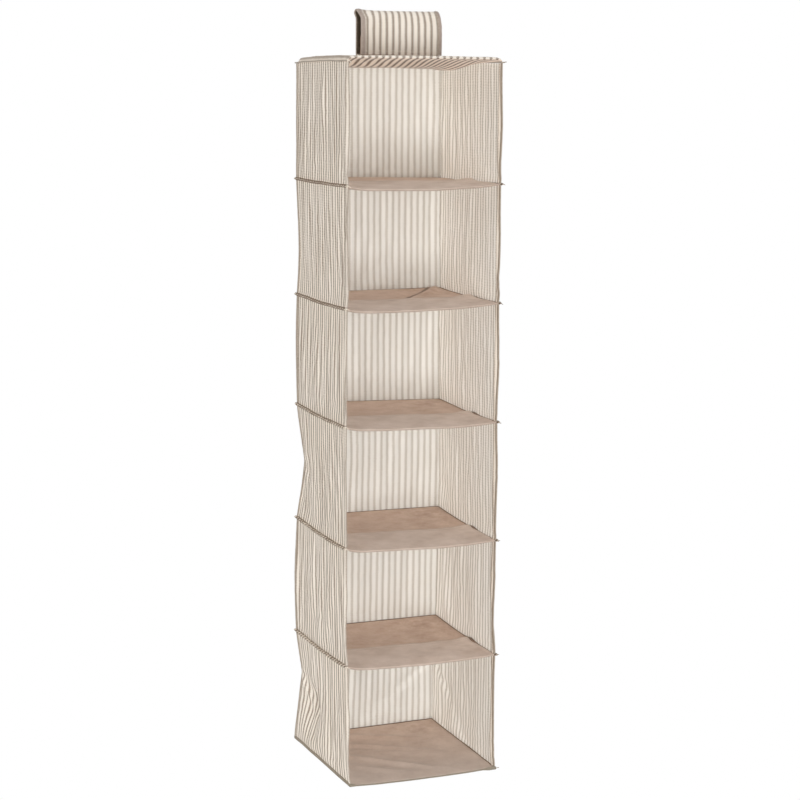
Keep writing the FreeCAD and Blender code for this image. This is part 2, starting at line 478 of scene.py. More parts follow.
def plain_woven(f, uv, colour, cloud, pitch, grain, smoothest, specular):
    """Finishes f as plain cloth of one colour, slightly shiny."""
    weave = threads(f, uv, pitch)
    height = f.math("ADD", f.math("MULTIPLY", weave, 0.6), f.noise(uv, grain, 1.0))
    rough = f.range(cloud, 0.0, 1.0, smoothest, smoothest + 0.12)
    return f.finish(colour, rough, f.bump(0.3, 0.0002, height), sheen=0.08, specular=specular)


def taupe_cloth(name, paler_front):
    """Warm taupe cloth of the shelves, painted with shade towards the back right; the base's pales to
    its front.
    """
    f = Finish(name)
    uv = f.cloth_map()
    x, y = f.split(f.object_place())
    cloud = f.share(f.noise(uv, 24.0, 6.0, 0.72), 0.34, 0.66)
    fleck = f.share(f.noise(uv, 300.0, 4.0, 0.8), 0.32, 0.68, 0.6)
    colour = f.mix(cloud, rgb(201, 174, 155), rgb(172, 143, 122))
    colour = f.mix(fleck, colour, rgb(158, 131, 112))
    # painted shade: darker towards the back right corner, where the walls shade the shelf
    painted_corner_shade = f.math("MULTIPLY", f.share(x, -0.02, RIGHT, 0.55, "SMOOTHSTEP"),
                    f.range(y, -0.06, BACK, 0.15, 1.0, "SMOOTHSTEP"))
    colour = f.mix(f.math("MULTIPLY", painted_corner_shade, cloud), colour, rgb(126, 98, 79))
    if paler_front:
        front = f.share(y, 0.20, FRONT + 0.04, 0.9)
        colour = f.mix(front, colour, f.mix(cloud, rgb(186, 170, 158), rgb(172, 156, 144)))
    return plain_woven(f, uv, colour, cloud, 0.0009, 1500.0, 0.5, 0.3)


def facing_cloth():
    """Greyer, closer-woven taupe cloth of the facings along the shelves' fronts."""
    f = Finish("facing_cloth")
    uv = f.cloth_map()
    cloud = f.share(f.noise(uv, 18.0, 5.0, 0.65), 0.32, 0.68)
    colour = f.mix(cloud, rgb(203, 185, 172), rgb(177, 157, 142))
    return plain_woven(f, uv, colour, cloud, 0.0008, 1600.0, 0.48, 0.32)


def tape_cloth(name, light, dark):
    """Ribbed edge tape: fine cross ribs along its length and a slightly worn colour."""
    f = Finish(name)
    uv = f.cloth_map()
    rib = f.math("SINE", f.math("MULTIPLY", f.split(uv)[0], 2 * math.pi / 0.0010))
    cloud = f.share(f.noise(uv, 120.0, 3.0, 0.7), 0.3, 0.7)
    height = f.math("ADD", rib, f.noise(uv, 1800.0, 1.0))
    rough = f.range(cloud, 0.0, 1.0, 0.7, 0.85)
    colour = f.mix(cloud, rgb(*light), rgb(*dark))
    return f.finish(colour, rough, f.bump(0.5, 0.00025, height), sheen=0.2, specular=0.25)


def thread_finish(name, light, dark):
    """Twisted sewing thread, on object coordinates because the stitches have no cloth map."""
    f = Finish(name)
    twist = f.noise(f.object_place(), 1400.0, 2.0, 0.6)
    colour = f.mix(f.share(twist, 0.35, 0.65), rgb(*light), rgb(*dark))
    return f.finish(colour, 0.6, f.bump(0.4, 0.0001, twist), sheen=0.1, specular=0.35)


def pile_finish(name, light, dark, scale):
    """Hook or loop fastener tape: a rough, speckled ground."""
    f = Finish(name)
    speck = f.noise(f.object_place(), scale, 3.0, 0.7)
    colour = f.mix(f.share(speck, 0.35, 0.65), rgb(*light), rgb(*dark))
    return f.finish(colour, 0.8, f.bump(0.8, 0.0004, speck))


def board_finish():
    """Plain grey-brown board with fibres along its width."""
    f = Finish("stiffener_board")
    stretched = f.add("Mapping", {"Vector": f.object_place(), "Scale": (60.0, 900.0, 900.0)})
    fibre = f.noise(stretched, 1.0, 3.0, 0.6)
    colour = f.mix(f.share(fibre, 0.3, 0.7), rgb(170, 150, 125), rgb(150, 130, 106))
    return f.finish(colour, 0.88, f.bump(0.3, 0.0003, fibre))


STRIPED = striped_cloth(
    "striped_cloth", (237, 229, 219), (230, 221, 209), (160, 147, 134), (150, 136, 122)
)
# the outer wall cloth carries painted crease shade
WALL_CLOTH = striped_cloth(
    "wall_cloth", (241, 233, 223), (234, 225, 213), (152, 138, 124), (142, 127, 112), crease_shade=0.55
)
# copy of the striped cloth with much darker stripes: painted shade on the rolled seams
SEAM_CLOTH_SHADED = striped_cloth(
    "seam_cloth_painted_shade", (222, 210, 194), (210, 196, 179), (88, 70, 55), (70, 55, 42)
)
# lighter, lower-contrast copies of the wall cloth for the walls' inner faces: painted light that
# brightens the insides of the compartments
STRIPED_INSIDE_PAINTED_LIGHT = striped_cloth(
    "striped_cloth_inside_painted_light", (231, 230, 225), (226, 224, 218), (198, 193, 185), (190, 184, 175)
)
SIDE_INSIDE_PAINTED_LIGHT = striped_cloth(
    "side_cloth_inside_painted_light", (235, 233, 228), (229, 226, 219), (186, 180, 172), (178, 171, 162)
)
# browner, darker copy of the striped cloth: painted shade for the roof's downward faces
STRIPED_UNDER_SHADED = striped_cloth(
    "roof_lower_cloth_painted_shade", (237, 218, 202), (228, 208, 190), (106, 80, 60), (94, 70, 51)
)
TAUPE = taupe_cloth("taupe_cloth", False)
BASE_CLOTH = taupe_cloth("base_cloth", True)
FACING = facing_cloth()
TAPE = tape_cloth("edge_tape", (180, 166, 156), (165, 150, 140))
DARK_TAPE = tape_cloth("edge_tape_dark", (150, 136, 120), (134, 118, 101))
CORNER_TAPE = tape_cloth("corner_tape", (178, 168, 156), (162, 150, 137))
BASE_TAPE = tape_cloth("base_tape", (152, 142, 126), (136, 125, 109))
# dark tape that stands in for shadow: painted shadow along the shelves' edges and in the pulled fold
SHADOW_TAPE = tape_cloth("painted_shadow_tape", (124, 100, 80), (98, 76, 58))
# taupe lining, painted darker with the shade inside the strap's loop
LINING_SHADED = tape_cloth("strap_lining_painted_shade", (92, 78, 62), (74, 61, 47))
SEAM_THREAD = thread_finish("seam_thread", (128, 108, 90), (98, 80, 63))
CREAM_THREAD = thread_finish("cream_thread", (236, 228, 215), (214, 202, 186))
TAUPE_THREAD = thread_finish("taupe_thread", (150, 133, 118), (122, 105, 90))
BOARD = board_finish()
HOOKS = pile_finish("hook_tape", (150, 135, 115), (120, 105, 88), 900.0)
LOOPS = pile_finish("loop_tape", (176, 162, 142), (150, 135, 115), 1300.0)


# ---- stitches, by geometry nodes ----------------------------------------------------------
def open_tree(name, seed, **sizes):
    """New geometry tree, and its named inputs: its sizes, its seed and its material."""
    tree = bpy.data.node_groups.new(name, "GeometryNodeTree")
    sockets = [("Geometry", "Geometry", None)]
    sockets += [(label, "Float", size) for label, size in sizes.items()]
    sockets += [("Seed", "Int", seed), ("Material", "Material", None)]
    for label, kind, default in sockets:
        socket = tree.interface.new_socket(label, in_out="INPUT", socket_type="NodeSocket" + kind)
        if default is not None:
            socket.default_value = default
    tree.interface.new_socket("Geometry", in_out="OUTPUT", socket_type="NodeSocketGeometry")
    return tree, tree.nodes.new("NodeGroupInput").outputs


def close_tree(tree, given, spots):
    """Instances on points, made real, shaded smooth and given their material."""
    placed = tree_node(tree, "GeometryNodeInstanceOnPoints", spots)[0]
    real = tree_node(tree, "GeometryNodeRealizeInstances", {0: placed})[0]
    soft = tree_node(tree, "GeometryNodeSetShadeSmooth", {0: real})[0]
    done = tree_node(tree, "GeometryNodeSetMaterial", {0: soft, "Material": given["Material"]})[0]
    tree.links.new(done, tree.nodes.new("NodeGroupOutput").inputs[0])
    return tree


def close_along(tree, given, shape, axis, smallest, largest):
    """Shapes evenly spaced along the carrier's paths, each a little uneven in size."""
    curve = tree_node(tree, "GeometryNodeMeshToCurve", {0: given["Geometry"]})[0]
    even = tree_node(
        tree, "GeometryNodeResampleCurve", {0: curve, "Length": given["Spacing"]}, mode="LENGTH"
    )[0]
    tangent = tree_node(tree, "GeometryNodeInputTangent")[0]
    aim = tree_node(tree, "FunctionNodeAlignRotationToVector", {"Vector": tangent}, axis=axis)[0]
    uneven = tree_node(
        tree, "FunctionNodeRandomValue", {2: smallest, 3: largest, "Seed": given["Seed"]},
        data_type="FLOAT",
    )[1]
    spots = {"Points": even, "Instance": shape, "Rotation": aim, "Scale": uneven}
    return close_tree(tree, given, spots)


def running_stitch_tree():
    """Short thread pills along every path."""
    tree, given = open_tree(
        "running_stitches", 7,
        Spacing=STITCH_GAP, Length=STITCH, Thread=THREAD, Unevenness=0.12,
    )
    pill = tree_node(tree, "GeometryNodeMeshUVSphere", {"Segments": 6, "Rings": 4, "Radius": 1.0})
    half = tree_node(tree, "ShaderNodeMath", {0: given["Length"], 1: 0.5}, operation="MULTIPLY")
    size = tree_node(
        tree, "ShaderNodeCombineXYZ", {0: half[0], 1: given["Thread"], 2: given["Thread"]}
    )
    shaped = tree_node(tree, "GeometryNodeTransform", {"Geometry": pill[0], "Scale": size[0]})
    limits = [
        tree_node(tree, "ShaderNodeMath", {0: 1.0, 1: given["Unevenness"]}, operation=change)[0]
        for change in ("SUBTRACT", "ADD")
    ]
    return close_along(tree, given, shaped[0], "X", *limits)


def whip_stitch_tree():
    """Slanted thread loops round a rolled seam."""
    tree, given = open_tree(
        "whip_stitches", 3, Spacing=0.0063, Loop=0.0031, Thread=0.0004, Slant=0.6
    )
    circle = "GeometryNodeCurvePrimitiveCircle"
    loop = tree_node(tree, circle, {"Resolution": 10, "Radius": given["Loop"]})
    strand = tree_node(tree, circle, {"Resolution": 4, "Radius": given["Thread"]})
    ring = tree_node(tree, "GeometryNodeCurveToMesh", {0: loop[0], 1: strand[0]})
    lean = tree_node(tree, "ShaderNodeCombineXYZ", {0: given["Slant"], 1: 0.0, 2: 0.0})
    leaning = tree_node(tree, "GeometryNodeTransform", {"Geometry": ring[0], "Rotation": lean[0]})
    return close_along(tree, given, leaning[0], "Z", 0.92, 1.1)


def pile_tree():
    """Small arched hairs scattered over a fastener strip."""
    tree, given = open_tree("fastener_pile", 11, Density=350000.0, Height=0.0009, Hair=0.00012)
    spots = tree_node(tree, "GeometryNodeDistributePointsOnFaces", {
        0: given["Geometry"], "Density": given["Density"], "Seed": given["Seed"],
    })
    hair = tree_node(tree, "GeometryNodeCurveArc", {
        "Resolution": 5, "Radius": 1.0, "Start Angle": 0.0, "Sweep Angle": math.pi,
    })
    strand = tree_node(
        tree, "GeometryNodeCurvePrimitiveCircle", {"Resolution": 3, "Radius": given["Hair"]}
    )
    small = tree_node(tree, "ShaderNodeCombineXYZ", {n: given["Height"] for n in range(3)})
    shrunk = tree_node(tree, "GeometryNodeTransform", {"Geometry": hair[0], "Scale": small[0]})
    stood = tree_node(
        tree, "GeometryNodeTransform", {"Geometry": shrunk[0], "Rotation": (math.pi / 2, 0.0, 0.0)}
    )
    body = tree_node(tree, "GeometryNodeCurveToMesh", {0: stood[0], 1: strand[0]})
    turn = tree_node(
        tree, "FunctionNodeRandomValue", {2: 0.0, 3: 2 * math.pi, "Seed": given["Seed"]},
        data_type="FLOAT",
    )
    spin = tree_node(tree, "ShaderNodeCombineXYZ", {0: 0.0, 1: 0.0, 2: turn[1]})
    turned = tree_node(
        tree, "FunctionNodeRotateRotation", {0: spots["Rotation"], 1: spin[0]},
        rotation_space="LOCAL",
    )
    return close_tree(
        tree, given, {"Points": spots[0], "Instance": body[0], "Rotation": turned[0]}
    )


RUNNING = running_stitch_tree()
WHIP = whip_stitch_tree()
PILE = pile_tree()


def grown(name, carrier, tree, **inputs):
    """Runs a tree on the carrier object and returns the plain mesh it makes."""
    step = carrier.modifiers.new("grow", "NODES")
    step.node_group = tree
    for item in tree.interface.items_tree:
        key = item.name.lower()
        if item.in_out == "INPUT" and key in inputs:
            step[item.identifier] = inputs[key]
    view = bpy.context.evaluated_depsgraph_get()
    mesh = bpy.data.meshes.new_from_object(carrier.evaluated_get(view), depsgraph=view)
    carrier.modifiers.remove(step)
    bpy.data.objects.remove(carrier, do_unlink=True)
    mesh.name = name
    if not mesh.materials:
        mesh.materials.append(inputs["material"])
    return add_object(name, mesh)


def path_carrier(paths):
    """A mesh of bare edges, one string for each path."""
    verts, edges = [], []
    for path in paths:
        start = len(verts)
        verts += [tuple(p) for p in path]
        edges += [(start + n, start + n + 1) for n in range(len(path) - 1)]
    mesh = bpy.data.meshes.new("paths")
    mesh.from_pydata(verts, edges, [])
    return add_object("paths", mesh)


def stitch_row(name, paths, thread=TAUPE_THREAD, seed=7):
    return grown(name, path_carrier(paths), RUNNING, material=thread, seed=seed)


# ---- walls: cloth hung between the seams --------------------------------------------------
CUT_LARGER = (1.006, 1.012, 1.006)  # than the space it hangs in: across, deep and high
MOST_SETTLED = 0.009                # how far the settling may move any part of it
# wrinkles from broad to fine: height, how close they are along the wall and up it, and the
# step from one compartment's to the next and the first one's place in the noise
WRINKLES = ((0.0042, 30, 1.3, 3.7, 0), (0.0030, 72, 2.0, 1.9, 40), (0.0009, 40, 22, 4.3, 80))


def tent(v, peak, sharp):
    """0 at both ends and 1 at the peak: a plain arc, or a sharper ridge."""
    rise = v / peak if v < peak else (1 - v) / (1 - peak)
    arc = math.sin(math.pi / 2 * rise)
    return arc * (1 - sharp) + rise ** 1.3 * sharp


def wrinkle(k, s, v):
    """Upright wrinkles of the slack cloth, leaning a little, and the folds of a pulled corner."""
    lean = 0.35 * ripple(s * 5.0, k * 2.2, 12.0)
    run = s + lean * (v - 0.5) * 0.2
    out = 0.0
    for size, along, up, step, first in WRINKLES:
        out += size * ripple(run * along, v * up, k * step + first)
    peak, sharp = BOW_AT[k]
    pulled = [
        abs(s - column) for column, bow in zip((SIDE, SIDE + WIDE), CORNER_BOW[k])
        if sharp > 0.5 and bow <= -0.008 and abs(s - column) <= 0.20
    ]
    for away in pulled:
        for slope in (0.55, -0.75):
            off = (v - peak) * PITCH - slope * away
            ridge = math.exp(-((off / (0.006 + 0.12 * away)) ** 2))
            out += 0.021 * (sharp - 0.5) * ridge * math.exp(-away / 0.10) * min(1.0, away / 0.02)
    if k == COMPARTMENTS:
        dent_s, dent_v = (s - SIDE + 0.078) / 0.050, (v - 0.42) * PITCH / 0.042
        out -= 0.0150 * math.exp(-dent_s * dent_s - dent_v * dent_v)
        brow = dent_v - 1.5 + 0.9 * abs(dent_s)
        out += 0.0060 * math.exp(-brow * brow * 2 - dent_s * dent_s * 0.5)
    return out


def wall_start(k):
    """Where compartment k's cloth is before it settles, and the size that it was cut to."""
    left_bow, right_bow = CORNER_BOW[k]
    left_bulge, back_bulge, right_bulge = WALL_BULGE[k]
    start = np.zeros((len(COLUMNS), ROWS + 1, 3))
    for i, s in enumerate(COLUMNS):
        (x, y), (ox, oy) = round_walls(s)
        x, y = x - ox * CLOTH / 2, y - oy * CLOTH / 2
        bottom = seam_height(k, s) + SEAM_HALF
        top = seam_height(k - 1, s) - SEAM_HALF
        from_left, from_right = abs(s - SIDE), abs(s - SIDE - WIDE)
        reach = 0.055 + 0.05 * BOW_AT[k][1]
        left_pull = left_bow * math.exp(-((from_left / reach) ** 1.6))
        right_pull = right_bow * math.exp(-((from_right / reach) ** 1.6))
        low_x, low_y, low_lift = hang(k, x, y)
        high_x, high_y, high_lift = hang(k - 1, x, y)
        bottom, top = bottom + low_lift, top + high_lift
        if s < SIDE:
            swell = left_bulge * math.sin(math.pi * s / SIDE)
        elif s < SIDE + WIDE:
            swell = back_bulge * math.sin(math.pi * (s - SIDE) / WIDE)
        else:
            swell = right_bulge * math.sin(math.pi * (AROUND - s) / SIDE)
        for j in range(ROWS + 1):
            v = j / ROWS
            belly = math.sin(math.pi * v)
            out = swell * belly + wrinkle(k, s, v) * belly ** 0.5
            pull = tent(v, *BOW_AT[k]) * 0.707
            pull_x = (-left_pull + right_pull) * pull
            pull_y = (left_pull + right_pull) * pull
            plan_x = low_x + (high_x - low_x) * v
            plan_y = low_y + (high_y - low_y) * v
            start[i, j] = (
                plan_x + ox * out + pull_x, plan_y + oy * out + pull_y, bottom + (top - bottom) * v
            )
    middle = start.reshape(-1, 3).mean(axis=0)
    return start, middle + (start - middle) * np.array(CUT_LARGER)


def settle(starts, frames):
    """Lets every compartment's cloth settle under its own weight; returns the settled grids."""
    scene = bpy.context.scene
    scene.frame_start, scene.frame_end = 1, frames
    hanging = []
    for k, (start, cut) in starts.items():
        columns, rows = start.shape[:2]
        obj = make_object(f"hanging_{k}", start.reshape(-1, 3), grid_faces(columns, rows))
        obj.shape_key_add(name="Basis")
        sized = obj.shape_key_add(name="cut")
        sized.data.foreach_set("co", cut.reshape(-1))
        held = obj.vertex_groups.new(name="held")
        for i in range(columns):
            held.add([i * rows, i * rows + rows - 1], 1.0, "REPLACE")
        cloth = obj.modifiers.new("cloth", "CLOTH").settings
        cloth.quality = 6
        cloth.mass = 0.1
        cloth.air_damping = 2.0
        cloth.tension_stiffness = cloth.compression_stiffness = 40.0
        cloth.shear_stiffness = 12.0
        cloth.bending_stiffness = 0.35
        cloth.tension_damping = cloth.compression_damping = 20.0
        cloth.shear_damping = 15.0
        cloth.bending_damping = 1.0
        cloth.vertex_group_mass = "held"
        cloth.effector_weights.gravity = 0.25
        cloth.rest_shape_key = sized
        hanging.append((k, obj, start))
    for number in range(1, frames + 1):
        scene.frame_set(number)
    view = bpy.context.evaluated_depsgraph_get()
    settled = {}
    for k, obj, start in hanging:
        mesh = obj.evaluated_get(view).data
        found = np.empty(len(mesh.vertices) * 3)
        mesh.vertices.foreach_get("co", found)
        move = found.reshape(start.shape) - start
        length = np.linalg.norm(move, axis=2, keepdims=True)
        move *= np.minimum(1.0, MOST_SETTLED / np.maximum(length, 1e-9))
        settled[k] = start + move
        bpy.data.objects.remove(obj, do_unlink=True)
    scene.frame_set(1)
    return settled

SETTLING_FRAMES = 30
STARTS = {k: wall_start(k) for k in range(1, COMPARTMENTS + 1)}
WALLS = settle(STARTS, SETTLING_FRAMES)

BACK_LEFT, BACK_RIGHT = SIDE_STEPS, SIDE_STEPS + WIDE_STEPS
ROW_HEIGHTS = np.linspace(0, PITCH, ROWS + 1)


def make_walls(k):
    for side, columns, wide, inside in (
        ("left", slice(0, BACK_LEFT + 1), SIDE, SIDE_INSIDE_PAINTED_LIGHT),
        ("back", slice(BACK_LEFT, BACK_RIGHT + 1), WIDE, STRIPED_INSIDE_PAINTED_LIGHT),
        ("right", slice(BACK_RIGHT, len(COLUMNS)), SIDE, SIDE_INSIDE_PAINTED_LIGHT),
    ):
        uv = cloth_grid(COLUMNS[columns] + k * CLOTH_SHIFT, ROW_HEIGHTS)
        grid = WALLS[k][columns]
        obj = sheet_object(f"{side}_wall_cloth_{k}", grid, uv, WALL_CLOTH, inside=inside)
        place_on_walls(k, obj, "striped_fabric", f"{side}_wall_{k}")


def make_corner_bindings(k):
    """Bound upright seams at the two back corners, following the settled cloth."""
    section = [
        (-0.0008, -0.0010), (0.0018, -0.0011), (0.0027, -0.0006),
        (0.0027, 0.0006), (0.0018, 0.0011), (-0.0008, 0.0010),
    ]
    for side, column, sign in (("left", BACK_LEFT, -1), ("right", BACK_RIGHT, 1)):
        path = WALLS[k][column]
        out, across = np.array((0.8 * sign, 0.6, 0)), np.array((-0.6 * sign, 0.8, 0))
        obj = sweep(f"{side}_corner_binding_{k}", path, out, across, section, CORNER_TAPE)
        place_on_walls(k, obj, "binding_tape", f"corner_bindings_{k}")
        edge = path + out * 0.0012 + across * 0.00115
        stitches = stitch_row(f"{side}_corner_stitches_{k}", [edge[1:-1]], seed=k)
        place_on_walls(k, stitches, "binding_tape")


def make_front_hems(k):
    """Folded hems down the front edges of the side walls; the right one has a tape inside."""
    grid = WALLS[k]
    lifts = (0.0007, 0.0009, 0.0010, 0.0011)
    u = 0.0044 + np.array([-0.015, -0.010, -0.005, 0, 0.001, 0.002, 0.007, 0.012, 0.017])
    for side, first, step, sign in (("left", 0, 1, -1.0), ("right", len(COLUMNS) - 1, -1, 1.0)):
        out = np.array([sign, 0, 0])
        leaves = [(grid[first + step * n], lift) for n, lift in zip((3, 2, 1, 0), lifts)]
        outer = [edge + out * lift for edge, lift in leaves]
        inner = [edge - out * lift for edge, lift in leaves][::-1]
        nose = grid[first] + np.array([0, -0.0012, 0])
        hem = sheet_object(
            f"{side}_front_hem_{k}", np.stack(outer + [nose] + inner),
            cloth_grid(u, ROW_HEIGHTS), STRIPED, 0.0005, flip=side == "right",
        )
        place_on_walls(k, hem, "striped_fabric")
        rows = [(grid[first + step * 2] + out * lift)[1:-1] for lift in (0.0013, -0.0013)]
        stitches = stitch_row(f"{side}_hem_stitches_{k}", rows, CREAM_THREAD, seed=20 + k)
        place_on_walls(k, stitches, "striped_fabric")
        if side == "right":
            tape = sweep(
                f"right_front_tape_{k}", grid[first] - out * 0.0021, (0, 1, 0), -out,
                [(-0.0010, -0.0004), (0.0024, -0.0004), (0.0024, 0.0004), (-0.0010, 0.0004)],
                DARK_TAPE,
            )
            place_on_walls(k, tape, "binding_tape")


# ---- seams round each level ---------------------------------------------------------------
def seam_path(k, out_by):
    """Points and outward directions along seam k, with mitred back corners."""
    path, outs = [], []
    for i, s in enumerate(COLUMNS):
        (x, y), (ox, oy) = round_walls(s)
        if i == BACK_LEFT:
            ox, oy = -1.0, 1.0
        if i == BACK_RIGHT:
            ox, oy = 1.0, 1.0
        path.append((x + ox * out_by, y + oy * out_by, seam_height(k, s)))
        outs.append((ox, oy, 0.0))
    return hung(k, path), np.array(outs)


def oval(out_half, up_half, points=10):
    """Ring of an oval roll or of a round thread."""
    turns = [2 * math.pi * n / points for n in range(points)]
    return [(out_half * math.cos(a), up_half * math.sin(a)) for a in turns]


def make_seam(k):
    """Pinched, rolled seam of level k; the shelves' are in a copy of the walls' cloth darkened with
    painted shade, and whipped.
    """
    path, outs = seam_path(k, SEAM_OUT)
    tips = []
    for end, inner in ((0, 1), (-1, -2)):
        forward = path[end] - path[inner]
        forward /= np.linalg.norm(forward)
        tips.append([path[end] + (forward + outs[end] * 0.5) * reach for reach in (0.0015, 0.0035)])
    full = np.vstack([tips[0][::-1], path, tips[1]])
    out = np.vstack([outs[:1], outs[:1], outs, outs[-1:], outs[-1:]])
    taper = np.array([1.0 + 0.22 * ripple(n * 0.9, k * 5.1, 7.7) for n in range(len(full))])
    taper[[0, -1]], taper[[1, -2]] = 0.18, 0.6
    wide, thick = 0.0032 if k else 0.0016, SEAM_THICK[k]
    name = level_name(k, "seam_roll")
    cloth = SEAM_CLOTH_SHADED if k else CORNER_TAPE
    roll = sweep(name, full, out, UP, oval(wide, thick), cloth, taper, slant=0.55)
    place(roll, LEVEL_BODIES[k], "striped_fabric", level_name(k, "seam"))
    if k:
        whip = grown(
            f"{name}_whipping", path_carrier([path[1:-1]]), WHIP,
            material=SEAM_THREAD, seed=k + 3, loop=0.0030, thread=0.0005,
        )
        place(whip, LEVEL_BODIES[k], "striped_fabric")


def make_base_binding():
    """Tape folded round the base, over the walls' lower edge and, narrower, along the front."""
    section = [
        (-0.0014, 0.0022), (0.0010, 0.0024), (0.0019, 0.0012), (0.0020, -0.0012),
        (0.0012, -0.0034), (-0.0030, -0.0038), (-0.0036, -0.0030), (-0.0014, -0.0024),
    ]
    path, outs = seam_path(COMPARTMENTS, 0.0004)
    front = [
        (x, FRONT, LEVELS[-1] - shelf_drop(COMPARTMENTS, x, FRONT))
        for x in (RIGHT - WIDE * n / 24 for n in range(1, 24))
    ]
    outs[0], outs[-1] = (-1.0, -1.0, 0.0), (1.0, -1.0, 0.0)
    full = np.vstack([path, hung(COMPARTMENTS, front), path[:1]])
    out = np.vstack([outs, np.tile((0.0, -1.0, 0.0), (len(front), 1)), outs[:1]])
    fine = np.ones(len(full))
    fine[len(path) + 1:-1] = 0.5
    obj = sweep("base_binding_tape", full, out, UP, section, BASE_TAPE, fine)
    place(obj, "base", "binding_tape", "base_binding")
    line = full + out * 0.0021 - np.array(UP) * 0.0004
    place(stitch_row("base_binding_stitches", [line[1:-1]], seed=61), "base", "binding_tape")


# ---- shelves ------------------------------------------------------------------------------
def behind_fold(x, y):
    """How far (x, y) is behind the line that the pulled fold starts from."""
    return FOLD_AHEAD * (y - BACK) - FOLD_ACROSS * (x - RIGHT) - 0.9 * (y - 0.05) ** 2


def shelf_drop(k, x, y):
    """How far the cloth of shelf k lies below its seam level at (x, y)."""
    from_left, from_right = x - LEFT, RIGHT - x
    across = (1 - math.exp(-max(0, from_left) / 0.012)) * (1 - math.exp(-max(0, from_right) / 0.05))
    across *= 0.8 + 0.2 * math.sin(math.pi * from_left / WIDE)
    forward = min(1.0, max(0.0, (CREASE_Y - y) / (CREASE_Y - FRONT)))
    drop = FRONT_DROP[k] * across * forward
    edge = min(from_left, from_right, BACK - y)
    free = smooth(0.0, 0.03, edge)
    drop -= 0.0010 * free * ripple(x * 13 + k * 9, y * 13, 2.5)
    drop -= 0.0004 * free * ripple(x * 45, y * 45 + k * 5, 8.5)
    if k == FOLDED_SHELF:
        behind = behind_fold(x, y)
        fade = smooth(-0.04, 0.05, y) * free
        drop -= 0.0068 * math.exp(-((behind / 0.013) ** 2)) * fade
        drop += 0.0048 * math.exp(-(((behind - 0.030) / 0.022) ** 2)) * fade
    if k == COMPARTMENTS:
        for slant, start, size in BASE_FOLDS:
            off = (y - start) + slant * (x + 0.05) + 0.010 * ripple(x * 12, start * 50, 4.0)
            fade = (1 - smooth(0.02, 0.13, abs(x + 0.02))) * smooth(FRONT, FRONT + 0.06, y)
            drop -= size * math.exp(-((off / 0.013) ** 2)) * fade * free
    return drop


def shelf_middle(k, x, y):
    """Height of the middle of shelf k's sleeve: its sides follow the seams."""
    s = min(SIDE, max(0.0, y - FRONT))
    left = seam_height(k, s)
    right = seam_height(k, AROUND - s)
    share = (x - LEFT) / WIDE
    return left + (right - left) * share - shelf_drop(k, x, y)


def fine_edges(low, high, steps):
    """Even steps with a few more close to both ends, where a sleeve is pinched."""
    even = list(np.linspace(low, high, steps + 1))
    close = [0.0006, 0.0014, 0.0026]
    return np.array(sorted(even + [low + c for c in close] + [high - c for c in close]))


def pinch(x, y):
    """Share of its full thickness that a sleeve has near its sewn edges."""
    from_left, from_right = x - LEFT - 0.0012, RIGHT - 0.0012 - x
    right_run = 0.045 if y < FRONT + 0.02 else 0.012
    share = min(1.0, from_left / 0.004 + 0.25, from_right / right_run + 0.18)
    share = min(share, (BACK - SLEEVE_IN_BACK - y) / 0.008 + 0.2)
    nose = 0.42 + 0.58 * smooth(FRONT, FRONT + 0.035, y)
    return max(0.12, share) ** 0.6 * nose


def sleeve_section(k, x):
    """Closed ring in the Y-Z plane at x: over the top, round the front and back underneath."""
    nose = SHELF_HALF * pinch(x, FRONT)
    ys = np.linspace(BACK - SLEEVE_IN_BACK, FRONT + nose, 62)
    heights = [(y, shelf_middle(k, x, y), SHELF_HALF * pinch(x, y)) for y in ys]
    top = [(x, y, middle + half) for y, middle, half in heights]
    under = [(x, y, middle - half) for y, middle, half in heights[::-1]]
    centre = heights[-1][1]
    roll = [(x, FRONT + nose - nose * out, centre + nose * up) for out, up in HALF_TURN]
    return top + roll + under


def ring_solid(name, rings, uvs, material):
    """Closed solid from equal rings side by side, capped at both ends with fans of quads."""
    count, around = rings.shape[:2]
    faces, corner_uvs = [], []
    for i in range(count - 1):
        for j in range(around):
            nxt = (j + 1) % around
            corners = ((i, j), (i, nxt), (i + 1, nxt), (i + 1, j))
            faces.append(tuple(a * around + b for a, b in corners))
            corner_uvs += [uvs[a, b] for a, b in corners]
    for i in (0, count - 1):
        for j in range(around // 2):
            a, b = j, j + 1
            c, d = around - 2 - j, around - 1 - j
            ring = [a, b, c, d] if b < c else [a, b, d]
            if i == 0:
                ring = ring[::-1]
            if len(set(ring)) >= 3:
                faces.append(tuple(i * around + n for n in ring))
                corner_uvs += [uvs[i, n] for n in ring]
            if b >= c:
                break
    obj = make_object(name, rings.reshape(-1, 3), faces, corner_uvs, material)
    return turned_outwards(obj)


def make_sleeve(k):
    xs = fine_edges(LEFT + SLEEVE_IN, RIGHT - SLEEVE_IN, 58)
    rings = hung(k, [sleeve_section(k, x) for x in xs])
    material = TAUPE if k < COMPARTMENTS else BASE_CLOTH
    obj = ring_solid(level_name(k, "sleeve"), rings, cloth_round(xs, rings), material)
    place(obj, LEVEL_BODIES[k], "taupe_fabric", level_name(k, "cover"))


def facing_slack(k, x, y):
    """How far the facing stands off its shelf: at its crease, its right end and its folds."""
    loose = 0.0006 * smooth(CREASE_Y - 0.012, CREASE_Y, y)
    loose *= 1.0 + 1.6 * ripple(x * 30, k * 4.0, 3.0)
    if x > RIGHT - 0.05:
        end = smooth(RIGHT - 0.05, RIGHT - 0.015, x) * smooth(0.0, 0.012, RIGHT - x)
        loose += 0.0035 * end * smooth(CREASE_Y - 0.02, CREASE_Y, y)
    reach = math.hypot(RIGHT - x, y - FRONT)
    turn = math.atan2(y - FRONT, RIGHT - x)
    rays = math.sin(turn * 16 + k * 2.1) * math.exp(-(((reach - 0.075) / 0.055) ** 2))
    loose += 0.0007 * max(0.0, rays) * smooth(0.0, 0.02, reach)
    return loose + 0.0004 * ripple(x * 60, y * 25, k * 6.0 + 33)


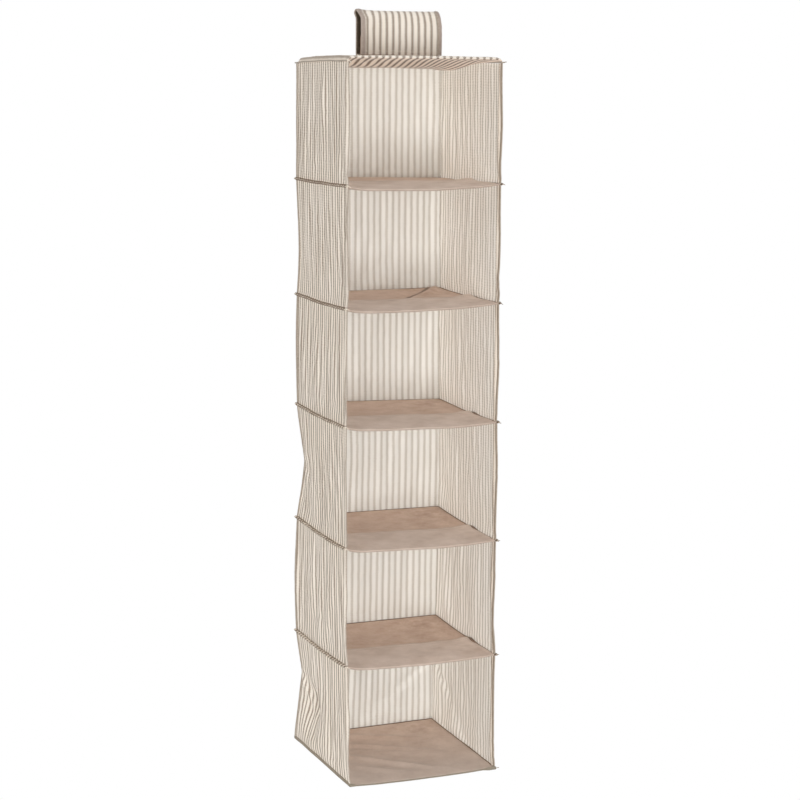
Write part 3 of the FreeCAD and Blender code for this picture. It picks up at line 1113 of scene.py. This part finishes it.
def make_facing(k):
    """Second layer over each shelf's front: round the nose and back to the crease."""
    xs = fine_edges(LEFT + 0.0016, RIGHT - 0.0016, 58)
    lift = 0.0006
    half = SHELF_HALF + lift
    grid = []
    for x in xs:
        nose = half * pinch(x, FRONT)
        column = []
        for y in np.linspace(CREASE_Y, FRONT + nose, 24):
            above = half * pinch(x, y) + facing_slack(k, x, y)
            column.append((x, y, shelf_middle(k, x, y) + above))
        centre = shelf_middle(k, x, FRONT + nose)
        round_nose = nose + lift * 0.5
        column += [
            (x, FRONT + nose - round_nose * out, centre + nose * up) for out, up in HALF_TURN
        ]
        for y in np.linspace(FRONT + nose, FRONT + nose + 0.012, 4):
            column.append((x, y, shelf_middle(k, x, y) - half * pinch(x, y) - 0.0001))
        grid.append(column)
    grid = hung(k, grid)
    uv = cloth_round(xs, grid)
    obj = sheet_object(f"shelf_facing_{k}", grid, uv, FACING, thick=0.0006, rounds=0)
    place(obj, LEVEL_BODIES[k], "taupe_fabric")
    hem = grid[3:-3, 2] + np.array([0, 0, 0.0005])
    lip = grid[3:-3, 27] + np.array([0, -0.0004, 0])
    stitches = stitch_row(f"shelf_facing_{k}_stitches", [hem, lip], seed=70 + k)
    place(stitches, LEVEL_BODIES[k], "taupe_fabric")


def make_inner_seam_shadow(k):
    """Painted shadow where the shelf meets the back and side walls inside: a narrow dark strip like
    seam tape.
    """
    path, outs, ridge = [], [], []
    for i, s in enumerate(COLUMNS):
        (x, y), (ox, oy) = round_walls(s)
        if s < 0.004 or s > AROUND - 0.012:
            continue
        # painted shadow: the strip widens beside the crease at the right wall, where the gap's shadow
        # is deepest
        wider_shadow = math.exp(-(((y - CREASE_Y + 0.004) / 0.022) ** 2)) if ox > 0 else 0.0
        wider_shadow *= SHADOW_WIDENING[k]
        inset = 0.0022 + 0.0009 * wider_shadow
        x, y = x - ox * inset, y - oy * inset
        if i in (BACK_LEFT, BACK_RIGHT):
            x, y = x - math.copysign(0.0022, x), y - 0.0022
        path.append((x, y, shelf_middle(k, x, y) + SHELF_HALF * pinch(x, y) + 0.0004))
        outs.append((ox, oy, 0.0))
        ridge.append(0.6 + 0.5 * ripple(len(ridge) * 0.7, k * 3.0, 15.0) + wider_shadow)
    section = [(-0.0009, -0.0008), (0.0012, -0.0008), (0.0012, 0.0011), (-0.0002, 0.0010)]
    obj = sweep(f"inner_seam_{k}", hung(k, path), outs, UP, section, SHADOW_TAPE, ridge)
    place(obj, LEVEL_BODIES[k], "binding_tape")


def make_pulled_fold(k):
    """Dark pinched fold from shelf k's back right corner towards its front middle: painted shadow
    along the fold's steep side.
    """
    path, taper = [], []
    for n, y in enumerate(np.linspace(BACK - 0.006, FRONT + 0.095, 30)):
        x = RIGHT + (behind_fold(RIGHT, y) - 0.010) / FOLD_ACROSS
        x += 0.002 * ripple(y * 60, 3.0, k)
        path.append((x, y, shelf_middle(k, x, y) + SHELF_HALF * pinch(x, y) + 0.0001))
        taper.append(0.3 + (2.4 - n * 0.06) * (0.7 + 0.6 * ripple(n * 0.6, k, 9.0)))
    taper[0] = taper[-1] = 0.3
    across = (-FOLD_ACROSS, FOLD_AHEAD, 0.0)
    section = oval(0.0030, 0.0009, 8)
    fold = sweep(f"shelf_fold_painted_shadow_{k}", hung(k, path), across, UP, section, SHADOW_TAPE, taper)
    place(fold, LEVEL_BODIES[k], "taupe_fabric")


def make_board(k, xs, ys, faces_at):
    """Stiffener board of level k; faces_at(x, y) is its middle height and half its thickness."""
    rings = []
    for x in xs:
        heights = [(y, *faces_at(x, y)) for y in ys]
        top = [(x, y, middle + half) for y, middle, half in heights]
        rings.append(top + [(x, y, middle - half) for y, middle, half in heights[::-1]])
    rings = hung(k, rings)
    uvs = np.zeros(rings.shape[:2] + (2,))
    obj = ring_solid(level_name(k, "stiffener"), rings, uvs, BOARD)
    place(obj, LEVEL_BODIES[k], "stiffener_board", level_name(k, "board"))


def make_shelf_board(k):
    """Board inside a sleeve, bent as the shelf is and thin where the sleeve is pinched."""
    def faces_at(x, y):
        return shelf_middle(k, x, y), min(0.0012, SHELF_HALF * pinch(x, y) * 0.55)

    xs = np.linspace(LEFT + 0.006, RIGHT - 0.006, 30)
    ys = np.linspace(BACK - 0.006, FRONT + 0.006, 30)
    make_board(k, xs, ys, faces_at)


# ---- roof ---------------------------------------------------------------------------------
ROOF_RISE = 0.0088          # of the roof's top over its side seams
ROOF_LIP = 0.0046           # of the front lip's lower edge over the seams
ROOF_SWAG = 0.0086          # how far the loose lower cloth hangs below the seams
LIP_RUN = 0.0018            # how far the front lip reaches forward


def quarter_round(distance, radius):
    """0 at an edge, rising like a quarter circle to 1 at the radius."""
    rest = 1 - min(1.0, max(0.0, distance) / radius)
    return math.sqrt(1 - rest * rest)


def roof_top(x, y):
    """Height of the roof's upper cloth above its seams: a puffed slab with pinched corners."""
    from_side = min(x - LEFT, RIGHT - x)
    corner = quarter_round(y - FRONT + 0.004, 0.030)
    back = quarter_round(BACK - y, 0.014)
    across = 1 - ((x - MIDDLE_X) / (WIDE / 2)) ** 2
    deep = 1 - ((y - MIDDLE_Y) / (SIDE / 2)) ** 2
    crown = 0.0012 * across + 0.0022 * deep * (1 - across) + 0.0006 * ripple(x * 18, y * 18, 60.0)
    side_pinch = corner + (1 - corner) * quarter_round(from_side, 0.03)
    return (ROOF_RISE + crown) * quarter_round(from_side, 0.006) * back * (0.35 + 0.65 * side_pinch)


def roof_under(x, y):
    """Height of the roof's loose lower cloth: down steeply behind the lip, slower at the right."""
    from_left, from_right = x - LEFT, RIGHT - x
    run = 0.076 + 0.098 * smooth(-0.03, RIGHT, x)
    fall = smooth(0.0, run, y - FRONT)
    lip = ROOF_LIP * quarter_round(min(from_left, from_right), 0.012)
    side = min(smooth(0.0, 0.012, from_left), smooth(0.0, 0.032, from_right))
    side *= 1 + 0.35 * math.exp(-(((x - 0.108) / 0.025) ** 2))
    end = 0.4 + 0.6 * smooth(0.0, 0.12, BACK - y)
    low = -0.0012 - ROOF_SWAG * side * end + 0.0010 * ripple(x * 22, y * 16, 31.0) * side
    fan = 0.0012 * side * math.sin(x * 2 * math.pi / 0.031 + y * 90) * fall * (1 - fall) * 4
    return lip + (low - lip) * fall + fan * (1 - smooth(-0.10, -0.02, x))


def roof_section(x):
    """Closed ring in the Y-Z plane at x: over the top, round the lip and back underneath."""
    ys = BACK - 0.0006 - (SIDE - 0.0024) * np.linspace(0, 1, 71) ** 0.85
    heights = [(y, roof_top(x, y), roof_under(x, y)) for y in ys]
    top = [(x, y, LEVELS[0] + max(upper, lower + 0.0012)) for y, upper, lower in heights]
    under = [(x, y, LEVELS[0] + lower) for y, upper, lower in heights[::-1]]
    high, low = top[-1][2], under[0][2]
    middle, half = (high + low) / 2, (high - low) / 2
    lip = [(x, ys[-1] - LIP_RUN * out, middle + half * up) for out, up in HALF_TURN]
    return top + lip + under


def make_roof():
    rings = np.array([roof_section(x) for x in fine_edges(LEFT + 0.0004, RIGHT - 0.0004, 88)])
    steps = np.linalg.norm(np.diff(rings[:, ::12], axis=0), axis=2).mean(axis=1)
    u = np.concatenate([[0], np.cumsum(steps)]) + 0.003
    obj = ring_solid("roof_sleeve", rings, cloth_round(u, rings), STRIPED)
    obj.data.materials.append(STRIPED_UNDER_SHADED)
    # faces turned downwards take the copy with painted shade
    for face in obj.data.polygons:
        face.material_index = int(face.normal.z < -0.3)
    place(obj, "frame", "striped_fabric", "roof_cover")
    y = FRONT + 0.004
    hem = [(x, y, LEVELS[0] + roof_top(x, y) + 0.0002)
           for x in np.linspace(LEFT + 0.012, RIGHT - 0.012, 60)]
    rows = stitch_row("roof_front_stitches", [hem], CREAM_THREAD, seed=95)
    place(rows, "frame", "striped_fabric")
    make_board(
        0, np.linspace(LEFT + 0.012, RIGHT - 0.012, 30),
        np.linspace(BACK - 0.012, FRONT + 0.010, 30),
        lambda x, y: (LEVELS[0] + 0.0035 + roof_top(x, y) * 0.22, 0.0008),
    )


# ---- strap --------------------------------------------------------------------------------
STRAP_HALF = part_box("strap_face")[1].x
STRAP_SHARE = 0.938         # of its cut width, that the drawn-in cloth still covers
STRAP_SIDEWAYS = 0.0022     # how far its middle hangs to the right
STRIPES_FROM, STRIPES_SHARE = 0.3030, 0.962     # where they are at its middle, how close
LINING_MIDDLE = -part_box("flap_lining")[0].y - 0.0007
FACE_MIDDLE = LINING_MIDDLE + 0.0014
FLAP_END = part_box("flap_face")[0].z
ROOF_HERE = LEVELS[0] + ROOF_RISE + 0.0008


def strap_line(radius, foot=True):
    """The strap's middle line in Y-Z, from its sewn foot over the rail to the flap's end."""
    points = []
    if foot:
        points += [(y, ROOF_HERE + 0.0008) for y in np.linspace(radius + 0.022, radius + 0.004, 6)]
        points += [(radius + 0.0012, ROOF_HERE + 0.0018)]
    points += [(radius, z) for z in np.linspace(ROOF_HERE + 0.005, -0.002, 22)]
    turns = [math.pi * n / 24 for n in range(1, 24)]
    points += [(radius * math.cos(a), 1.12 * radius * math.sin(a)) for a in turns]
    for z in np.linspace(-0.002, FLAP_END, 24):
        bow = 0.0008 * math.sin(math.pi * (z + 0.002) / (FLAP_END + 0.002))
        points.append((-radius - bow, z))
    return np.array(points)


def strap_grid(radius, xs, foot=True):
    """Points of one strap layer, with its slack and its flared upper left edge."""
    line = strap_line(radius, foot)
    grid = np.zeros((len(xs), len(line), 3))
    for i, x in enumerate(xs):
        side = x / STRAP_HALF
        for j, (y, z) in enumerate(line):
            high = smooth(-0.03, 0.012, z)
            loose = 0.0009 * ripple(x * 24, j * 0.23, 5.0) * smooth(-0.06, -0.01, z)
            flare = smooth(0.6, 1.0, -side) * smooth(0.002, 0.013, z)
            drawn_in = max(0.0, side) * smooth(-0.012, 0.012, z)
            grid[i, j] = (
                x * STRAP_SHARE + STRAP_SIDEWAYS - 0.0052 * flare - 0.0028 * drawn_in,
                y + math.copysign(1.0, y) * loose,
                z + 0.0018 * flare + 0.0006 * high * side * side,
            )
    return grid


def place_on_strap(obj, slot, *nodes):
    """Hides the named frame parts and bakes obj's place into its mesh; slot is not used."""
    place(obj, None, slot, *nodes)
    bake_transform(obj)


def make_strap_cloth(name, part, radius, wide, material, slot):
    """One layer of the strap; only the outer one is sewn down by a foot."""
    xs = np.linspace(-STRAP_HALF, STRAP_HALF, 51)
    foot = part == "face"
    run = path_run(strap_line(radius, foot))
    uv = cloth_grid(xs * STRIPES_SHARE + STRIPES_FROM, run)
    grid = strap_grid(radius, xs * wide, foot)
    obj = sheet_object(name, grid, uv, material, thick=0.0011, flip=True)
    place_on_strap(obj, slot, f"strap_{part}", f"flap_{part}")


def make_strap():
    make_strap_cloth("strap_outer_cloth", "face", FACE_MIDDLE, 1.0, STRIPED, "striped_fabric")
    make_strap_cloth("strap_inner_cloth", "lining", LINING_MIDDLE, 0.985, LINING_SHADED, "taupe_fabric")
    make_strap_tape("left", -1.0, 0.0745)
    make_strap_tape("right", 1.0, 0.0768)
    edges = strap_grid(FACE_MIDDLE + 0.0013, np.array([-0.0785, 0.0785]))[:, 8:]
    place_on_strap(stitch_row("strap_tape_stitches", edges, seed=91), "binding_tape")
    end = strap_grid(FACE_MIDDLE + 0.0008, np.linspace(-0.073, 0.073, 40))
    hem = [end[:, -3], end[:, -4]]
    flap_rows = stitch_row("flap_hem_stitches", hem, CREAM_THREAD, seed=92)
    place(flap_rows, "strap_flap", "striped_fabric")
    foot = [end[:, n] + np.array([0, 0, 0.0006]) for n in (1, 4)]
    foot_rows = stitch_row("strap_foot_stitches", foot, CREAM_THREAD, seed=93)
    place(foot_rows, "frame", "striped_fabric")


def make_strap_tape(side, sign, inner_edge):
    """Tape folded round one edge of the strap, over both layers."""
    fold = (
        (inner_edge, FACE_MIDDLE + 0.0008), (0.0790, FACE_MIDDLE + 0.0009),
        (0.0822, FACE_MIDDLE + 0.0008), (0.0832, FACE_MIDDLE - 0.0002),
        (0.0832, LINING_MIDDLE + 0.0002), (0.0826, LINING_MIDDLE - 0.0006),
    )
    legs = [strap_grid(radius, np.array([sign * x]), foot=False)[0] for x, radius in fold]
    widths = np.array([0, 0.004, 0.008, 0.0095, 0.011, 0.0120])
    uv = cloth_grid(widths, path_run(legs[3]))[..., ::-1]
    profile = np.stack(legs)
    obj = sheet_object(f"strap_tape_{side}", profile, uv, TAPE, thick=0.0006, flip=sign > 0)
    place_on_strap(obj, "binding_tape", f"strap_binding_{side}", f"flap_binding_{side}")


def make_tab():
    """Short upright tab under the flap; its loop strip meets the hook strip on the flap."""
    low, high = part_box("strap_tab")
    y = high.y - 0.001
    points = [(t, ROOF_HERE + 0.001) for t in np.linspace(low.y, y - 0.004, 6)]
    points += [(y - 0.0012, ROOF_HERE + 0.0022)]
    points += [(y, z) for z in np.linspace(ROOF_HERE + 0.005, high.z, 14)]
    xs = np.linspace(low.x, high.x, 46)
    grid = np.zeros((len(xs), len(points), 3))
    for i, x in enumerate(xs):
        for j, (py, pz) in enumerate(points):
            grid[i, j] = (x, py + 0.0004 * ripple(x * 20, j * 0.3, 90.0), pz)
    run = round_run(grid)[0]
    obj = sheet_object("roof_tab_cloth", grid, cloth_grid(xs, run), TAUPE, thick=0.0016)
    place(obj, "frame", "taupe_fabric", "strap_tab")
    rows = stitch_row("tab_stitches", [grid[2:-2, 2] + np.array([0, 0, 0.001])], seed=94)
    place(rows, "frame", "taupe_fabric")
    make_fastener("loop_strip", "frame", LOOPS, -1.0, 11)
    make_fastener("hook_strip", "strap_flap", HOOKS, 1.0, 12)


def make_fastener(node, body, material, facing, seed):
    """Fastener strip: a thin ground with rounded corners, and hairs on its working face."""
    low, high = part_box(node)
    radius, thick = 0.004, (high.y - low.y) * 0.55
    left, right, under, top = low.x + radius, high.x - radius, low.z + radius, high.z - radius
    outline = []
    for cx, cz, start in ((right, top, 0), (left, top, 90), (left, under, 180), (right, under, 270)):
        turns = [math.radians(start + n * 18) for n in range(6)]
        outline += [(cx + radius * math.cos(a), cz + radius * math.sin(a)) for a in turns]
    back_y = high.y if facing < 0 else low.y
    front_y = back_y + facing * thick
    count = len(outline)
    verts = [(x, back_y, z) for x, z in outline] + [(x, front_y, z) for x, z in outline]
    faces = [(n, (n + 1) % count, count + (n + 1) % count, count + n) for n in range(count)]
    faces += [tuple(range(count))[::-1], tuple(range(count, 2 * count))]
    ground = turned_outwards(make_object(f"{node}_ground", verts, faces, None, material))
    ground.data.shade_flat()
    place(ground, body, "hook_and_loop", node)
    face = [(x * 0.985, front_y, z) for x, z in outline]
    order = tuple(range(count)) if facing < 0 else tuple(range(count))[::-1]
    pile = grown(
        f"{node}_pile", make_object("pile_face", face, [order]), PILE,
        material=material, seed=seed, height=0.0004, density=400000.0, hair=0.00005,
    )
    place(pile, body, "hook_and_loop")


# ---- thread ends at the front corners -----------------------------------------------------
def make_thread_end(k, name, points, material):
    """A short bare thread of level k as a thin tube."""
    path = np.array(points)
    run = np.gradient(path, axis=0)
    run /= np.linalg.norm(run, axis=1, keepdims=True)
    side = np.cross(run, UP)
    side /= np.linalg.norm(side, axis=1, keepdims=True)
    obj = sweep(name, path, side, np.cross(side, run), oval(THREAD_END, THREAD_END, 6), material)
    place(obj, LEVEL_BODIES[k], "striped_fabric")


def make_corner_threads(k):
    """A knot at the left front corner, but not on the base, and a loose tip at the right one."""
    if k < COMPARTMENTS:
        centre = hung(k, [(LEFT - 0.0022, FRONT - 0.0022, seam_height(k, 0.0))])[0]
        coil = [
            centre + np.array([0.0014 * math.cos(a), 0.0011 * math.sin(a) - 0.0003,
                               0.0014 * math.sin(a * 0.5 + 0.4)])
            for a in np.linspace(0, 4 * math.pi, 36)
        ]
        tail = [centre + np.array([0.001 + t * 0.005, -0.0012 - t * 0.001, 0.001 - t * 0.004])
                for t in np.linspace(0, 1, 6)]
        make_thread_end(k, f"corner_knot_{k}", coil + tail, CREAM_THREAD)
    start = hung(k, [(RIGHT + 0.0012, FRONT - 0.003, seam_height(k, AROUND))])[0]
    loose = [start + np.array([t * 0.0050, -0.002 * t, 0.0018 * t * math.sin(3.0 * t + k)])
             for t in np.linspace(0, 1, 8)]
    make_thread_end(k, f"corner_thread_{k}", loose, TAUPE_THREAD)


# ---- build --------------------------------------------------------------------------------
for k in range(1, COMPARTMENTS + 1):
    make_walls(k)
    make_corner_bindings(k)
    make_front_hems(k)
for k in range(COMPARTMENTS):
    make_seam(k)
make_base_binding()
for k in range(1, COMPARTMENTS + 1):
    make_sleeve(k)
    if k < COMPARTMENTS:
        make_facing(k)
    make_inner_seam_shadow(k)
    make_shelf_board(k)
make_pulled_fold(FOLDED_SHELF)
make_roof()
make_strap()
make_tab()
for k in range(COMPARTMENTS + 1):
    make_corner_threads(k)


# ---- studio -------------------------------------------------------------------------------
def make_surroundings():
    """White to the camera, and a dimmer even light on the organizer."""
    world = bpy.data.worlds.new("white")
    world.use_nodes = True
    tree = world.node_tree
    seen, lit = tree.nodes["Background"], tree.nodes.new("ShaderNodeBackground")
    seen.inputs["Color"].default_value = lit.inputs["Color"].default_value = (1, 1, 1, 1)
    lit.inputs["Strength"].default_value = 0.30
    path, both = tree.nodes.new("ShaderNodeLightPath"), tree.nodes.new("ShaderNodeMixShader")
    tree.links.new(path.outputs["Is Camera Ray"], both.inputs[0])
    tree.links.new(lit.outputs[0], both.inputs[1])
    tree.links.new(seen.outputs[0], both.inputs[2])
    tree.links.new(both.outputs[0], tree.nodes["World Output"].inputs[0])
    bpy.context.scene.world = world


def make_floor():
    """Pale floor well below the hanging organizer."""
    radius, height, sides = 1.2, CAD_LOW.z - 0.6, 64
    turns = [2 * math.pi * n / sides for n in range(sides)]
    ring = [(radius * math.cos(a), radius * math.sin(a), height) for a in turns]
    floor = make_object("studio_floor", ring, [tuple(range(sides))])
    floor.data.shade_flat()
    f = Finish("studio_floor")
    grain = f.noise(f.object_place(), 30.0)
    colour = f.mix(f.share(grain, 0.3, 0.7), (0.86, 0.86, 0.85, 1), (0.82, 0.82, 0.81, 1))
    floor.data.materials.append(f.finish(colour, 0.8, f.bump(0.05, 0.001, grain)))


def make_lights():
    """Soft lights all round, aimed at the organizer's middle."""
    middle = Vector((0, 0, (CAD_LOW.z + CAD_HIGH.z) / 2))
    white, warm = (1.0, 1.0, 1.0), (1.0, 0.96, 0.91)
    for name, from_middle, size, watts, colour, shadows in (
        ("front", (-0.5, -4.2, -0.1), 1.8, 110.0, white, True),
        ("left_fill", (-4.2, -0.5, 0.1), 2.0, 90.0, warm, False),
        ("top_fill", (0.0, -0.6, 6.0), 2.4, 138.0, white, False),
        ("back", (1.2, 4.2, 0.4), 2.2, 112.0, white, True),
        ("right", (4.2, -0.8, 0.8), 2.2, 55.0, white, True),
    ):
        light = bpy.data.lights.new(name, "AREA")
        light.size, light.energy, light.color, light.use_shadow = size, watts, colour, shadows
        lamp = add_object(name, light)
        lamp.location = Vector(from_middle) + middle
        lamp.rotation_mode = "QUATERNION"
        lamp.rotation_quaternion = (middle - lamp.location).to_track_quat("-Z", "Y")


def make_camera():
    """Long lens from the front left, a little above the middle, looking slightly down."""
    data = bpy.data.cameras.new("camera")
    data.sensor_width, data.lens = 36.0, 94.5
    data.clip_start, data.clip_end = 0.05, 60.0
    camera = add_object("camera", data)
    turn, tip, roll = math.radians(20.0), math.radians(-8.32), math.radians(0.38)
    ahead = Vector((math.sin(turn) * math.cos(tip), math.cos(turn) * math.cos(tip), math.sin(tip)))
    camera.location = Vector((-1.322, -3.657, LEVELS[0] - 0.055))
    camera.rotation_mode = "QUATERNION"
    camera.rotation_quaternion = ahead.to_track_quat("-Z", "Y") @ Quaternion((0, 0, 1), roll)
    bpy.context.scene.camera = camera


make_surroundings()
make_floor()
make_lights()
make_camera()
bpy.context.scene.view_settings.view_transform = "Standard"
